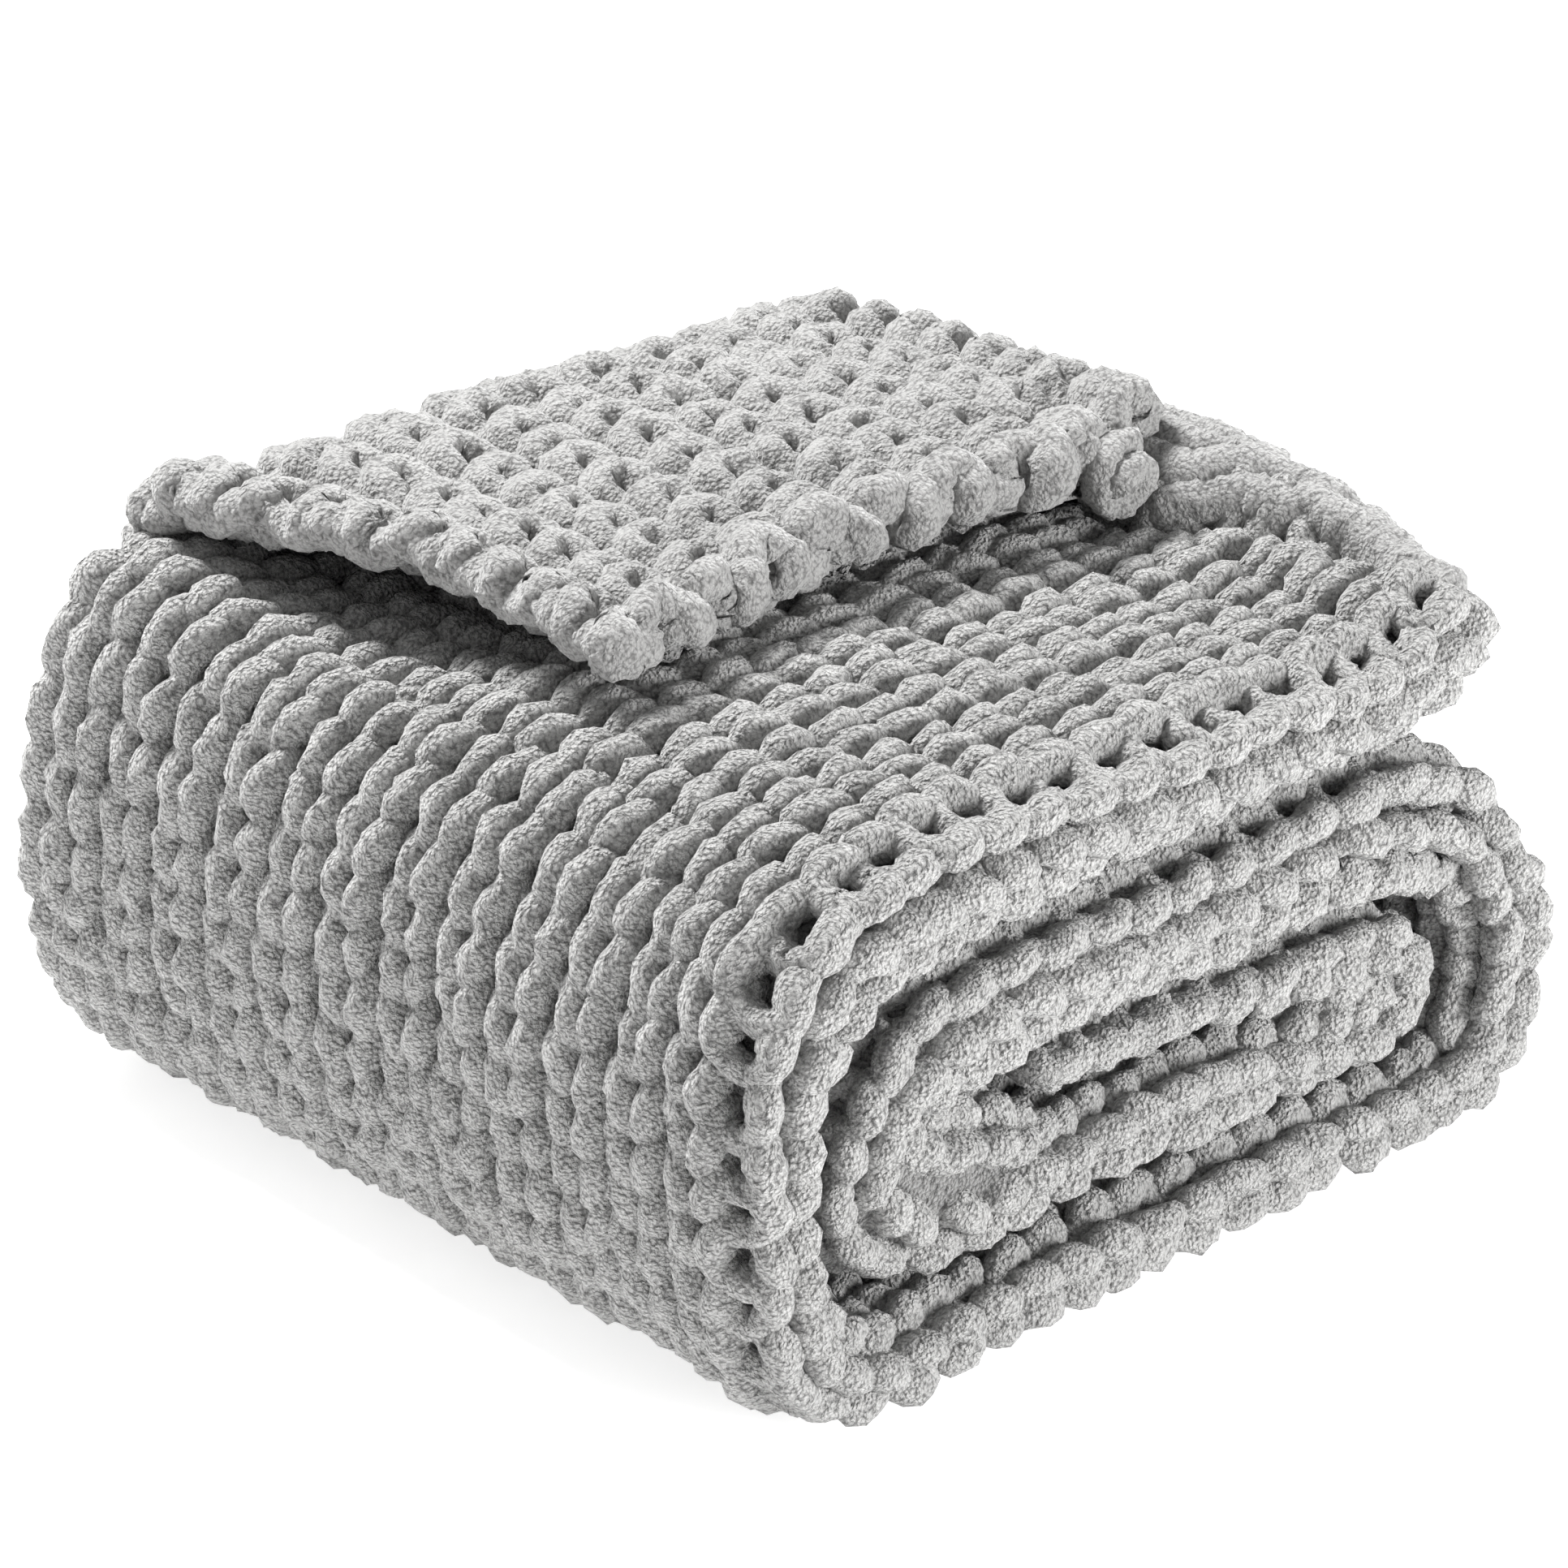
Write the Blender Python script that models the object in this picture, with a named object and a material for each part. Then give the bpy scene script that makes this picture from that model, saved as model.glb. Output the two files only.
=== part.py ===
"""A chunky knit blanket, folded in two along its length, then folded and rolled into a bundle.

The doubled cloth is one strip that runs along X and Z round the bundle. It starts inside the small roll,
turns back as the layer above it, goes down round the right end, under the bundle, up the left side, and
ends as the top layer. One loose end of the cloth is turned back over the top, with its purl side up.
The origin is in the middle of the underside. +Z is up, and the strip is as wide as the bundle is in Y.
"""

import math

import bmesh
import bpy
import numpy as np

# Driving sizes, metres
BUNDLE_LENGTH = 0.475
NEAR_END = -0.5 * BUNDLE_LENGTH
FAR_END = 0.5 * BUNDLE_LENGTH
WALE_PITCH = 0.0350
WALE_DEPTH = 0.0060
LEG_DEPTH = 0.0035
COURSE_PITCH = 0.0220
COURSE_DEPTH = 0.0045
FLAP_LENGTH = 0.2400
FLAP_THICKNESS = 0.0230
END_ROUNDING = 0.0240

# How finely the strip is divided: the longest and shortest step, and the turn in one step, in radians
PATH_SAMPLES = 2401
LONGEST_STEP = 0.046
SHORTEST_STEP = 0.016
STEP_TURN = 0.42
NEAR_END_TURNS = 6
FAR_END_TURNS = 4
INNER_POINTS = 5

# The strip's section, from the end inside the roll to the end of the top layer, in millimetres.
# A row holds a point of the strip's outer face, the point of its inner face across from it,
# and how far the strip is drawn in there from the bundle's near end and far end.
SECTION_COLUMNS = ("outer_x", "outer_z", "inner_x", "inner_z", "near_in", "far_in")
SECTION_ROWS = (
    (-48, 121, -48, 98, 22, 30),
    (-20, 121, -22, 97, 18, 28),
    (30, 122, 20, 96, 14, 26),
    (80, 121, 62, 95, 10, 24),
    (130, 119, 92, 93, 6, 22),
    (166, 108, 104, 91, 4, 20),
    (182, 82, 107, 89, 3, 20),
    (168, 52, 104, 87, 4, 20),
    (130, 46, 90, 87, 6, 20),
    (80, 48, 60, 88, 6, 20),
    (30, 49, 20, 89, 6, 20),
    (-30, 49, -22, 90, 8, 20),
    (-80, 48, -46, 90, 10, 20),
    (-125, 47, -62, 108, 12, 20),
    (-158, 55, -84, 117, 14, 20),
    (-176, 84, -110, 119, 14, 20),
    (-175, 122, -122, 121, 12, 18),
    (-158, 160, -112, 124, 10, 16),
    (-120, 181, -86, 126, 8, 14),
    (-70, 185, -50, 126, 6, 12),
    (-10, 184, 0, 126, 5, 10),
    (50, 185, 50, 126, 4, 10),
    (105, 188, 95, 126, 3, 8),
    (156, 187, 138, 126, 3, 6),
    (198, 166, 170, 118, 2, 4),
    (225, 124, 186, 96, 1, 2),
    (231, 78, 189, 72, 0, 0),
    (224, 30, 182, 48, 0, 0),
    (196, 0, 164, 40, 1, 0),
    (150, 0, 135, 42, 1, 0),
    (90, 0, 90, 44, 0, 0),
    (30, 0, 30, 44, 0, 0),
    (-30, 0, -30, 44, 0, 0),
    (-90, 0, -86, 43, 0, 0),
    (-156, 0, -130, 42, 0, 0),
    (-201, 3, -162, 47, 0, 0),
    (-227, 46, -179, 74, 1, 0),
    (-232, 112, -182, 112, 4, 2),
    (-226, 176, -176, 150, 6, 8),
    (-204, 228, -154, 180, 6, 22),
    (-154, 249, -120, 190, 5, 36),
    (-100, 251, -85, 191, 4, 46),
    (-40, 249, -35, 191, 3, 54),
    (30, 248, 30, 191, 3, 58),
    (90, 247, 90, 193, 4, 57),
    (148, 243, 140, 194, 6, 55),
    (184, 264, 176, 195, 10, 54),
    (206, 255, 198, 199, 14, 55),
    (211, 237, 209, 217, 18, 58),
)

# The loose end turned back over the top, from its left edge to its right edge, in millimetres.
# near_y is its near edge, far_y the fold that it comes from. under_near, under_mid and under_far are
# the heights of its underside at the near edge, half way and just before the fold.
FLAP_COLUMNS = ("x", "near_y", "far_y", "under_near", "under_mid", "under_far")
FLAP_ROWS = (
    (-138, -34, 220, 258, 270, 260),
    (-138, -43, 218, 257, 269, 259),
    (-118, -46, 213, 256, 262, 257),
    (-80, -42, 206, 254, 256, 256),
    (-40, -38, 199, 254, 255, 255),
    (0, -35, 194, 253, 255, 255),
    (45, -38, 193, 255, 256, 255),
    (90, -44, 194, 256, 256, 255),
    (130, -50, 196, 256, 256, 254),
    (166, -42, 198, 256, 256, 253),
    (190, -28, 197, 254, 254, 252),
)
FLAP_STATIONS = 15
FLAP_COURSES = round(FLAP_LENGTH / COURSE_PITCH)
FLAP_EDGE_THICKNESS = (0.5, 0.85, 1.0)
FLAP_UNDER_POINTS = 5
FLAP_EDGE_TURNS = 4

# The fold at the flap's far end: its centre's height, its depth and lap, and where its rings have points
FOLD_CENTRE_HEIGHT = 0.220
FOLD_DEPTH = 0.045
FOLD_LAP = 0.020
FOLD_OUTER_DEGREES = (-35, -10, 15, 40, 65)
FOLD_INNER_DEGREES = (60, 30, 0, -35)

# How unevenly the bundle has settled. A row holds a zone, how far it moves, and where that eases in:
# an axis, the place where the move is nothing and the place where it is full, in metres.
ZONE_COLUMNS = ("zone", "amount", "ranges")
ZONE_ROWS = (
    ("far_right_sag", 0.055, (("x", -0.05, 0.20), ("y", -0.05, 0.22))),
    ("far_left_rise", 0.028, (("x", -0.11, -0.21), ("y", 0.02, 0.20), ("z", 0.12, 0.23))),
    ("near_right_pull", 0.012, (("x", 0.10, 0.20), ("y", -0.10, -0.23), ("z", 0.18, 0.23))),
    ("dip_from_left", 0.016, (("x", -0.20, -0.14), ("y", -0.03, 0.06), ("z", 0.20, 0.25))),
    ("dip_to_right", 1.000, (("x", -0.04, -0.10), ("y", 0.22, 0.13))),
    ("corner_spread", 0.036, (("x", -0.100, -0.138), ("y", 0.05, 0.19))),
    ("corner_drop", 0.014, (("x", -0.100, -0.138), ("y", 0.05, 0.19))),
)

# Slow waves through the bundle: their height, and how fast they turn along each axis, radians a metre
WAVE_HEIGHT = 0.0022
RISE_WAVE = (13, 4, 11)
RISE_START = -1.0
SHIFT_WAVE = (7, 12, 9)
SLIDE_WAVE = (14, 6)

# The underside stays flat below this height, and the ribs are pressed flat where a face points down
FLAT_HEIGHT = 0.040
PRESSED = -1.0
NOT_PRESSED = -0.75

BLANKET_GREY = (0.38, 0.375, 0.365, 1.0)


def clear_scene():
    for old in list(bpy.data.objects):
        bpy.data.objects.remove(old, do_unlink=True)


def new_collection(name):
    made = bpy.data.collections.new(name)
    bpy.context.scene.collection.children.link(made)
    return made


def knit_material():
    material = bpy.data.materials.new("chenille")
    material.use_nodes = True
    shader = material.node_tree.nodes["Principled BSDF"]
    shader.inputs["Base Color"].default_value = BLANKET_GREY
    shader.inputs["Roughness"].default_value = 0.95
    shader.inputs["Metallic"].default_value = 0.0
    return material


def spline_through(rows, names, places):
    """Each column of a table as a uniform cubic B-spline, read at places from 0 to 1."""
    lines = {}
    for name in names:
        values = np.array([row[names.index(name)] for row in rows], dtype=float) / 1000
        held = np.concatenate([[2 * values[0] - values[1]], values, [2 * values[-1] - values[-2]]])
        spans = len(values) - 1
        at = np.clip(places * spans, 0, spans - 1e-9)
        first = at.astype(int)
        t = at - first
        weights = (
            (1 - t) ** 3 / 6,
            (3 * t**3 - 6 * t**2 + 4) / 6,
            (-3 * t**3 + 3 * t**2 + 3 * t + 1) / 6,
            t**3 / 6,
        )
        lines[name] = sum(weight * held[first + shift] for shift, weight in enumerate(weights))
    return lines


def ease(value, start, end):
    """0 at start, 1 at end, and a smooth rise between."""
    t = min(1.0, max(0.0, (value - start) / (end - start)))
    return t * t * (3 - 2 * t)


def zone_move(zone, point):
    """How far a zone of the bundle moves at this point."""
    place = dict(zip("xyz", point))
    _, amount, ranges = next(row for row in ZONE_ROWS if row[ZONE_COLUMNS.index("zone")] == zone)
    for axis, start, end in ranges:
        amount *= ease(place[axis], start, end)
    return amount


def settle(point):
    """Moves a point as the soft bundle settles, keeping the underside flat."""
    x, y, z = point
    free = min(1.0, max(0.0, z / FLAT_HEIGHT))
    rise = math.sin(RISE_WAVE[0] * x + RISE_WAVE[1] * y) * math.cos(RISE_WAVE[2] * y + RISE_START)
    shift = math.sin(SHIFT_WAVE[1] * y + SHIFT_WAVE[2] * z) * math.cos(SHIFT_WAVE[0] * x)
    slide = math.sin(SLIDE_WAVE[0] * x + SLIDE_WAVE[1] * z)
    lower = z * (1 - zone_move("far_right_sag", point))
    return (
        x + WAVE_HEIGHT * shift - zone_move("near_right_pull", point),
        y + WAVE_HEIGHT * slide,
        lower + WAVE_HEIGHT * free * rise + zone_move("far_left_rise", point),
    )


def spread_corner(point):
    """Widens the flap's far left corner, so that it laps over the strip's raised shoulder."""
    x, y, z = point
    return (x - zone_move("corner_spread", point), y, z - zone_move("corner_drop", point))


def station_places():
    """Places along the strip, closer together where it turns."""
    fine = np.linspace(0, 1, PATH_SAMPLES)
    line = spline_through(SECTION_ROWS, SECTION_COLUMNS, fine)
    dx, dz = np.diff(line["outer_x"]), np.diff(line["outer_z"])
    length = np.hypot(dx, dz)
    heading = np.unwrap(np.arctan2(dz, dx))
    bend = np.abs(np.gradient(heading)) / np.maximum(length, 1e-6)
    step = np.clip(STEP_TURN / np.maximum(bend, 1e-6), SHORTEST_STEP, LONGEST_STEP)
    count = np.concatenate([[0], np.cumsum(length / step)])
    stations = int(round(count[-1]))
    return np.interp(np.linspace(0, count[-1], stations + 1), count, fine)


def strip_profile():
    """Points round the strip, each as a share of its width, its side and its rib depth.

    The side is 1 on the outer face and 0 on the inner face. A share under 0 or over 1 is on a rounded end.
    """
    wales = round(BUNDLE_LENGTH / WALE_PITCH)
    outer = []
    for wale in range(wales):
        for part, depth in ((0.0, WALE_DEPTH), (0.25, 0.0), (0.5, LEG_DEPTH), (0.75, 0.0)):
            outer.append((1 - (wale + part) / wales, 1, depth))
    outer.append((0.0, 1, LEG_DEPTH))
    near = []
    for turn in range(1, NEAR_END_TURNS):
        near.append((-turn / NEAR_END_TURNS, 0, LEG_DEPTH * (turn % 2 == 0)))
    inner = [(share, 0, 0.0) for share in np.linspace(0, 1, INNER_POINTS)]
    far = [(1 + turn / FAR_END_TURNS, 0, 0.0) for turn in range(1, FAR_END_TURNS)]
    return outer + near + inner + far


def strip_rings():
    places = station_places()
    line = spline_through(SECTION_ROWS, SECTION_COLUMNS, places)
    rings = []
    for index in range(len(places)):
        outer = np.array([line["outer_x"][index], line["outer_z"][index]])
        inner = np.array([line["inner_x"][index], line["inner_z"][index]])
        thick = float(np.hypot(*(outer - inner)))
        out = (outer - inner) / thick
        near = NEAR_END + line["near_in"][index]
        far = FAR_END - line["far_in"][index]
        rounding = min(0.5 * thick, END_ROUNDING)
        rib = ease(out[1], PRESSED, NOT_PRESSED)
        ring = []
        for share, side, depth in strip_profile():
            if 0 <= share <= 1:
                y = near + rounding + share * (far - near - 2 * rounding)
                lift = side * (thick - depth * rib)
            elif share < 0:
                angle = math.pi * (0.5 - share)
                y = near + rounding + (rounding - depth) * math.cos(angle)
                lift = 0.5 * thick * (1 + math.sin(angle))
            else:
                angle = math.pi * (share - 1.5)
                y = far - rounding + rounding * math.cos(angle)
                lift = 0.5 * thick * (1 + math.sin(angle))
            x, z = inner + out * lift
            z -= zone_move("dip_from_left", (x, y, z)) * zone_move("dip_to_right", (x, y, z))
            ring.append(settle((x, y, z)))
        rings.append(ring)
    return rings


def flap_rings():
    """Rings round the turned-back end: up over the fold, along its top, round its near edge and back."""
    line = spline_through(FLAP_ROWS, FLAP_COLUMNS, np.linspace(0, 1, FLAP_STATIONS))
    rings = []
    for index in range(FLAP_STATIONS):
        x, near, far = (line[name][index] for name in ("x", "near_y", "far_y"))
        heights = [line[name][index] for name in ("under_near", "under_mid", "under_far")]
        from_edge = min(index, FLAP_STATIONS - 1 - index, len(FLAP_EDGE_THICKNESS) - 1)
        thick = FLAP_THICKNESS * FLAP_EDGE_THICKNESS[from_edge]
        lower = 0.5 * (FLAP_THICKNESS - thick)
        centre = far - FOLD_DEPTH

        def under(share):
            return float(np.interp(share, (0, 0.5, 1), heights)) + lower

        outer_rise = under(1) + thick - FOLD_CENTRE_HEIGHT
        inner_rise = under(1) - FOLD_CENTRE_HEIGHT
        ring = []
        for degrees in FOLD_OUTER_DEGREES:
            angle = math.radians(degrees)
            y = centre + FOLD_DEPTH * math.cos(angle)
            ring.append((x, y, FOLD_CENTRE_HEIGHT + outer_rise * math.sin(angle)))
        for half in range(2 * FLAP_COURSES + 1):
            share = 1 - half / (2 * FLAP_COURSES)
            y = near + share * (centre - near)
            ring.append((x, y, under(share) + thick - COURSE_DEPTH * (half % 2)))
        for turn in range(1, FLAP_EDGE_TURNS):
            angle = math.pi * (0.5 - turn / FLAP_EDGE_TURNS)
            y = near - 0.5 * thick * math.cos(angle)
            ring.append((x, y, under(0) + 0.5 * thick * (1 + math.sin(angle))))
        for share in np.linspace(0, 1, FLAP_UNDER_POINTS):
            ring.append((x, near + share * (centre - near), under(share)))
        for degrees in FOLD_INNER_DEGREES:
            angle = math.radians(degrees)
            y = centre + (FOLD_DEPTH - FOLD_LAP) * math.cos(angle)
            ring.append((x, y, FOLD_CENTRE_HEIGHT + inner_rise * math.sin(angle)))
        rings.append([settle(spread_corner(point)) for point in ring])
    return rings


def loft(name, rings, collection):
    """A closed mesh through the rings, with a cap at each end."""
    shape = bmesh.new()
    loops = [[shape.verts.new(point) for point in ring] for ring in rings]
    count = len(loops[0])
    for first, second in zip(loops, loops[1:]):
        for at in range(count):
            after = (at + 1) % count
            shape.faces.new((first[at], first[after], second[after], second[at]))
    shape.faces.new(loops[0])
    shape.faces.new(loops[-1])
    bmesh.ops.recalc_face_normals(shape, faces=shape.faces)
    bmesh.ops.triangulate(shape, faces=shape.faces)
    mesh = bpy.data.meshes.new(name)
    shape.to_mesh(mesh)
    shape.free()
    made = bpy.data.objects.new(name, mesh)
    collection.objects.link(made)
    return made


def join_flap(blanket, flap):
    flap.hide_render = True
    flap.display_type = "WIRE"
    union = blanket.modifiers.new("turned_back_end", "BOOLEAN")
    union.operation = "UNION"
    union.solver = "EXACT"
    union.object = flap


def main():
    clear_scene()
    parts = new_collection("chunky_knit_blanket")
    helpers = new_collection("joined_shapes")
    blanket = loft("blanket", strip_rings(), parts)
    blanket.data.materials.append(knit_material())
    flap = loft("turned_back_end", flap_rings(), helpers)
    join_flap(blanket, flap)


main()
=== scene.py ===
"""The looks of the folded chunky knit blanket.

Every course of the knit is a plush rope of yarn that loops through its neighbours, as in stocking stitch.
The ropes lie on the form of the CAD solid: the rolled strip with its knit side out, and the loose end
that is turned back over the top with its purl side up. A core of the same cloth lies under them, its
colour darker as painted shade.
"""

import math

import bpy
import numpy as np
from mathutils import Matrix, Vector


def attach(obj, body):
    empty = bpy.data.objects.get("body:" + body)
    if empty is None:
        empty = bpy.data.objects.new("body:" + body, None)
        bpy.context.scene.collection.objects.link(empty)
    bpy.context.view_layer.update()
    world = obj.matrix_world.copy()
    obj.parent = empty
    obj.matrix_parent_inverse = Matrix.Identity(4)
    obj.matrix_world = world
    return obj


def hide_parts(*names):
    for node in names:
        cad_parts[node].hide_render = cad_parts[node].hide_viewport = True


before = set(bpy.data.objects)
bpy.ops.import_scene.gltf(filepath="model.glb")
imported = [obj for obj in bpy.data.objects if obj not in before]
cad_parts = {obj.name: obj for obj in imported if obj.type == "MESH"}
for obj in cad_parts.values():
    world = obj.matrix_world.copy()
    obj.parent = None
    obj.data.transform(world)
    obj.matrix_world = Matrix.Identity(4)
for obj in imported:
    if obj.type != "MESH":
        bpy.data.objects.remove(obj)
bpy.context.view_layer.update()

RANDOM = np.random.default_rng(41)
MM_PER_METRE = 1000

# The camera, measured from the photo
CAMERA_AZIMUTH = math.radians(-43.5)
CAMERA_ELEVATION = math.radians(27.5)
CAMERA_DISTANCE = 3.05
CAMERA_TARGET = Vector((0.0174, 0.0111, 0.1335))
SENSOR_WIDTH = 36.0
LENS = 167.7

# The floor, the light from all round, and each lamp's name, place, target, size and power
FLOOR_HALF = 6.0
FLOOR_GREY = 0.92
FLOOR_GLOW = 0.64
WORLD_STRENGTH = 0.46
LAMPS = (
    ("key", (-0.20, 1.60, 2.25), (0, 0, 0.15), 0.7, 170),
    ("side", (0.6, -2.4, 0.60), (0, 0, 0.12), 1.0, 80),
)

# Each yarn's light colour for the tufts' tips, dark colour, which paints shade into the pits between them,
# and depth of pile in metres
YARNS = {
    "chenille": ((0.51, 0.506, 0.497, 1), (0.20, 0.198, 0.194, 1), 0.0040),
    # The turned-back end's yarn is a darker copy of the chenille, painted shade on its brightly lit top;
    # its shallower pile is its own
    "chenille_back_painted_shade": ((0.375, 0.372, 0.366, 1), (0.175, 0.173, 0.170, 1), 0.0015),
    # The core's colours are darker than the yarn's: painted shade where it shows between the ropes
    "chenille_core_painted_shade": ((0.26, 0.257, 0.252, 1), (0.07, 0.069, 0.067, 1), 0.0040),
}
# The pile's noises, each with its scale, detail and roughness, and its tufts
WARP_NOISE = (300.0, 2.0, 0.5)
FIBRE_NOISE = (380.0, 3.0, 0.65)
PATCH_NOISE = (60.0, 3.0, 0.5)
WARP_REACH = 0.0020
TUFT_SCALE = 520.0
TUFT_TOP = 0.35
TUFT_FALL = -0.7
FIBRE_HEIGHT = 1.1
# The pits below this height take the dark colour, painted shade, and the tips above LIGHT_ABOVE the light
# one
PIT_SHADE_BELOW = 0.28
LIGHT_ABOVE = 0.62
PATCH_STRENGTH = 0.30

# The strip's ends in metres, and its section in millimetres. Each row holds a point of the outer face, its
# partner on the inner face, and how far the near and far ends are drawn in. The rows are the CAD solid's,
# apart from the last four, which curl the strip's end under the ridge.
NEAR_END = -0.2375
FAR_END = 0.2375
END_ROUNDING = 0.024
SECTION_COLUMNS = ("outer_x", "outer_z", "inner_x", "inner_z", "near_in", "far_in")
SECTION_ROWS = (
    (-48, 121, -48, 98, 22, 30),
    (-20, 121, -22, 97, 18, 28),
    (30, 122, 20, 96, 14, 26),
    (80, 121, 62, 95, 10, 24),
    (130, 119, 92, 93, 6, 22),
    (166, 108, 104, 91, 4, 20),
    (182, 82, 107, 89, 3, 20),
    (168, 52, 104, 87, 4, 20),
    (130, 46, 90, 87, 6, 20),
    (80, 48, 60, 88, 6, 20),
    (30, 49, 20, 89, 6, 20),
    (-30, 49, -22, 90, 8, 20),
    (-80, 48, -46, 90, 10, 20),
    (-125, 47, -62, 108, 12, 20),
    (-158, 55, -84, 117, 14, 20),
    (-176, 84, -110, 119, 14, 20),
    (-175, 122, -122, 121, 12, 18),
    (-158, 160, -112, 124, 10, 16),
    (-120, 181, -86, 126, 8, 14),
    (-70, 185, -50, 126, 6, 12),
    (-10, 184, 0, 126, 5, 10),
    (50, 185, 50, 126, 4, 10),
    (105, 188, 95, 126, 3, 8),
    (156, 187, 138, 126, 3, 6),
    (198, 166, 170, 118, 2, 4),
    (225, 124, 186, 96, 1, 2),
    (231, 78, 189, 72, 0, 0),
    (224, 30, 182, 48, 0, 0),
    (196, 0, 164, 40, 1, 0),
    (150, 0, 135, 42, 1, 0),
    (90, 0, 90, 44, 0, 0),
    (30, 0, 30, 44, 0, 0),
    (-30, 0, -30, 44, 0, 0),
    (-90, 0, -86, 43, 0, 0),
    (-156, 0, -130, 42, 0, 0),
    (-201, 3, -162, 47, 0, 0),
    (-227, 46, -179, 74, 1, 0),
    (-232, 112, -182, 112, 4, 2),
    (-226, 176, -176, 150, 6, 8),
    (-204, 228, -154, 180, 6, 22),
    (-154, 249, -120, 190, 5, 36),
    (-100, 251, -85, 191, 4, 46),
    (-40, 249, -35, 191, 3, 54),
    (30, 248, 30, 191, 3, 58),
    (90, 247, 90, 193, 4, 57),
    (148, 243, 140, 194, 6, 55),
    (184, 264, 176, 195, 10, 54),
    (206, 255, 198, 199, 14, 55),
    (217, 232, 182, 228, 18, 58),
    (207, 206, 186, 240, 16, 57),
    (180, 195, 176, 235, 12, 56),
    (150, 194, 150, 238, 8, 55),
)
PATH_SAMPLES = 4001

# The turned-back end, as in the CAD solid. Each row holds, in millimetres, a place across it, its near and
# far edges there, and the heights of its underside at the near edge, half way and just before the fold.
FLAP_COLUMNS = ("x", "near_y", "far_y", "under_near", "under_mid", "under_far")
FLAP_ROWS = (
    (-138, -34, 220, 258, 270, 260),
    (-138, -43, 218, 257, 269, 259),
    (-118, -46, 213, 256, 262, 257),
    (-80, -42, 206, 254, 256, 256),
    (-40, -38, 199, 254, 255, 255),
    (0, -35, 194, 253, 255, 255),
    (45, -38, 193, 255, 256, 255),
    (90, -44, 194, 256, 256, 255),
    (130, -50, 196, 256, 256, 254),
    (166, -42, 198, 256, 256, 253),
    (190, -28, 197, 254, 254, 252),
)
FLAP_SAMPLES = 801
FLAP_THICKNESS = 0.023
FOLD_CENTRE_HEIGHT = 0.220
FOLD_DEPTH = 0.045
FOLD_END = math.radians(-38)

# How unevenly the bundle has settled: how far each zone moves, and where along each axis that eases in.
# flap_right_drop and ridge are forms of this scene alone. The others are as in the CAD solid.
ZONES = {
    "far_right_sag": (0.055, (("x", -0.05, 0.20), ("y", -0.05, 0.22))),
    "far_left_rise": (0.028, (("x", -0.11, -0.21), ("y", 0.02, 0.20), ("z", 0.12, 0.23))),
    "near_right_pull": (0.012, (("x", 0.10, 0.20), ("y", -0.10, -0.23), ("z", 0.18, 0.23))),
    "dip_from_left": (0.016, (("x", -0.20, -0.14), ("y", -0.03, 0.06), ("z", 0.20, 0.25))),
    "dip_to_right": (1.000, (("x", -0.04, -0.10), ("y", 0.22, 0.13))),
    "corner_spread": (0.036, (("x", -0.100, -0.138), ("y", 0.05, 0.19))),
    "corner_drop": (0.014, (("x", -0.100, -0.138), ("y", 0.05, 0.19))),
    "flap_right_drop": (0.003, (("x", 0.140, 0.190),)),
    "ridge": (1.000, (("y", -0.215, -0.16), ("y", 0.00, -0.045), ("z", 0.205, 0.230))),
}
# The ridge along the top's right end, which rises beyond a crevice: y and x along the crevice
CREVICE_LINE = (
    (-0.240, 0.205),
    (-0.203, 0.196),
    (-0.138, 0.186),
    (-0.096, 0.168),
    (-0.066, 0.147),
    (0.30, 0.140),
)
CREVICE_DEPTH = 0.018
CREVICE_WIDTH = 0.009
RIDGE_RISE = 0.009
RIDGE_SLOPE = (0.004, 0.026)

# Slow waves through the bundle: their height, and how fast they turn along each axis, radians a metre
WAVE_HEIGHT = 0.0022
RISE_WAVE = (13, 4, 11)
RISE_START = -1.0
SHIFT_WAVE = (7, 12, 9)
SLIDE_WAVE = (14, 6)
FLAT_HEIGHT = 0.040

# Wales on the strip's outer face, and how many go round each of its ends, thin or thick
WALE_PITCH = 0.0350
FACE_WALES = 12
THIN_TURN = 0.6
THICK_TURN = 2.0
THIN_STRIP = 0.025
TURN_GROWTH = 28.0
DEEPEST = 0.42

# The yarn: its radius, its height and width as shares of that, how much thinner loops' heads are than
# their legs, and where the points round a rope lie
YARN_RADIUS = 0.0092
YARN_TALL = 1.12
YARN_WIDE = 0.91
YARN_SWELL = 0.06
OUTER_ARC = math.radians(122)
INNER_ANGLES = (math.radians(162), math.radians(198))
END_CAP = 0.6
FLOOR_GAP = 0.005
# Its lumps, each with a height, a size and a seed, and its grain
LUMPS = ((0.0011, 0.0090, 3), (0.0014, 0.0052, 5))
GRAIN = 0.0007
NOISE_SLICE = 0.31
# Large numbers that scramble a place in the noise's grid
HASH_AXES = (73856093, 19349663, 83492791)
HASH_SEED = 2654435761
HASH_STEPS = ((15, 2246822519), (13, 3266489917))
HASH_MASK = 0xFFFFFFFF

# How finely a rope is drawn: its sides, its stations in a stitch before and after a wale, and that wale
FINE = (13, 27.0, 17.0, FACE_WALES + 0.5)
COARSE = (10, 25.0, 15.0, 0.6)
NEAR_PART = (13, 27.0, 27.0, 0.0)
FAR_PART = (10, 15.0, 15.0, 0.0)
FLAP_DETAIL = (14, 27.0, 27.0, 0.0)
# The parts of a course that are knitted, from wale to wale, and how finely. UNDER_FLAP is for courses
# between UNDER_FLAP_ROWS, most of which lie under the turned-back end.
WHOLE_FINE = ((-3.0, FACE_WALES + 3.0, FINE),)
WHOLE_COARSE = ((-3.0, FACE_WALES + 3.0, COARSE),)
ENDS_ONLY = ((-2.6, 1.2, NEAR_PART), (FACE_WALES - 1.2, FACE_WALES + 3.0, FAR_PART))
UNDER_FLAP = ((-3.0, 7.0, NEAR_PART), (7.0, FACE_WALES + 3.0, FAR_PART))
UNDER_FLAP_ROWS = (41.5, 45.0)
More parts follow.
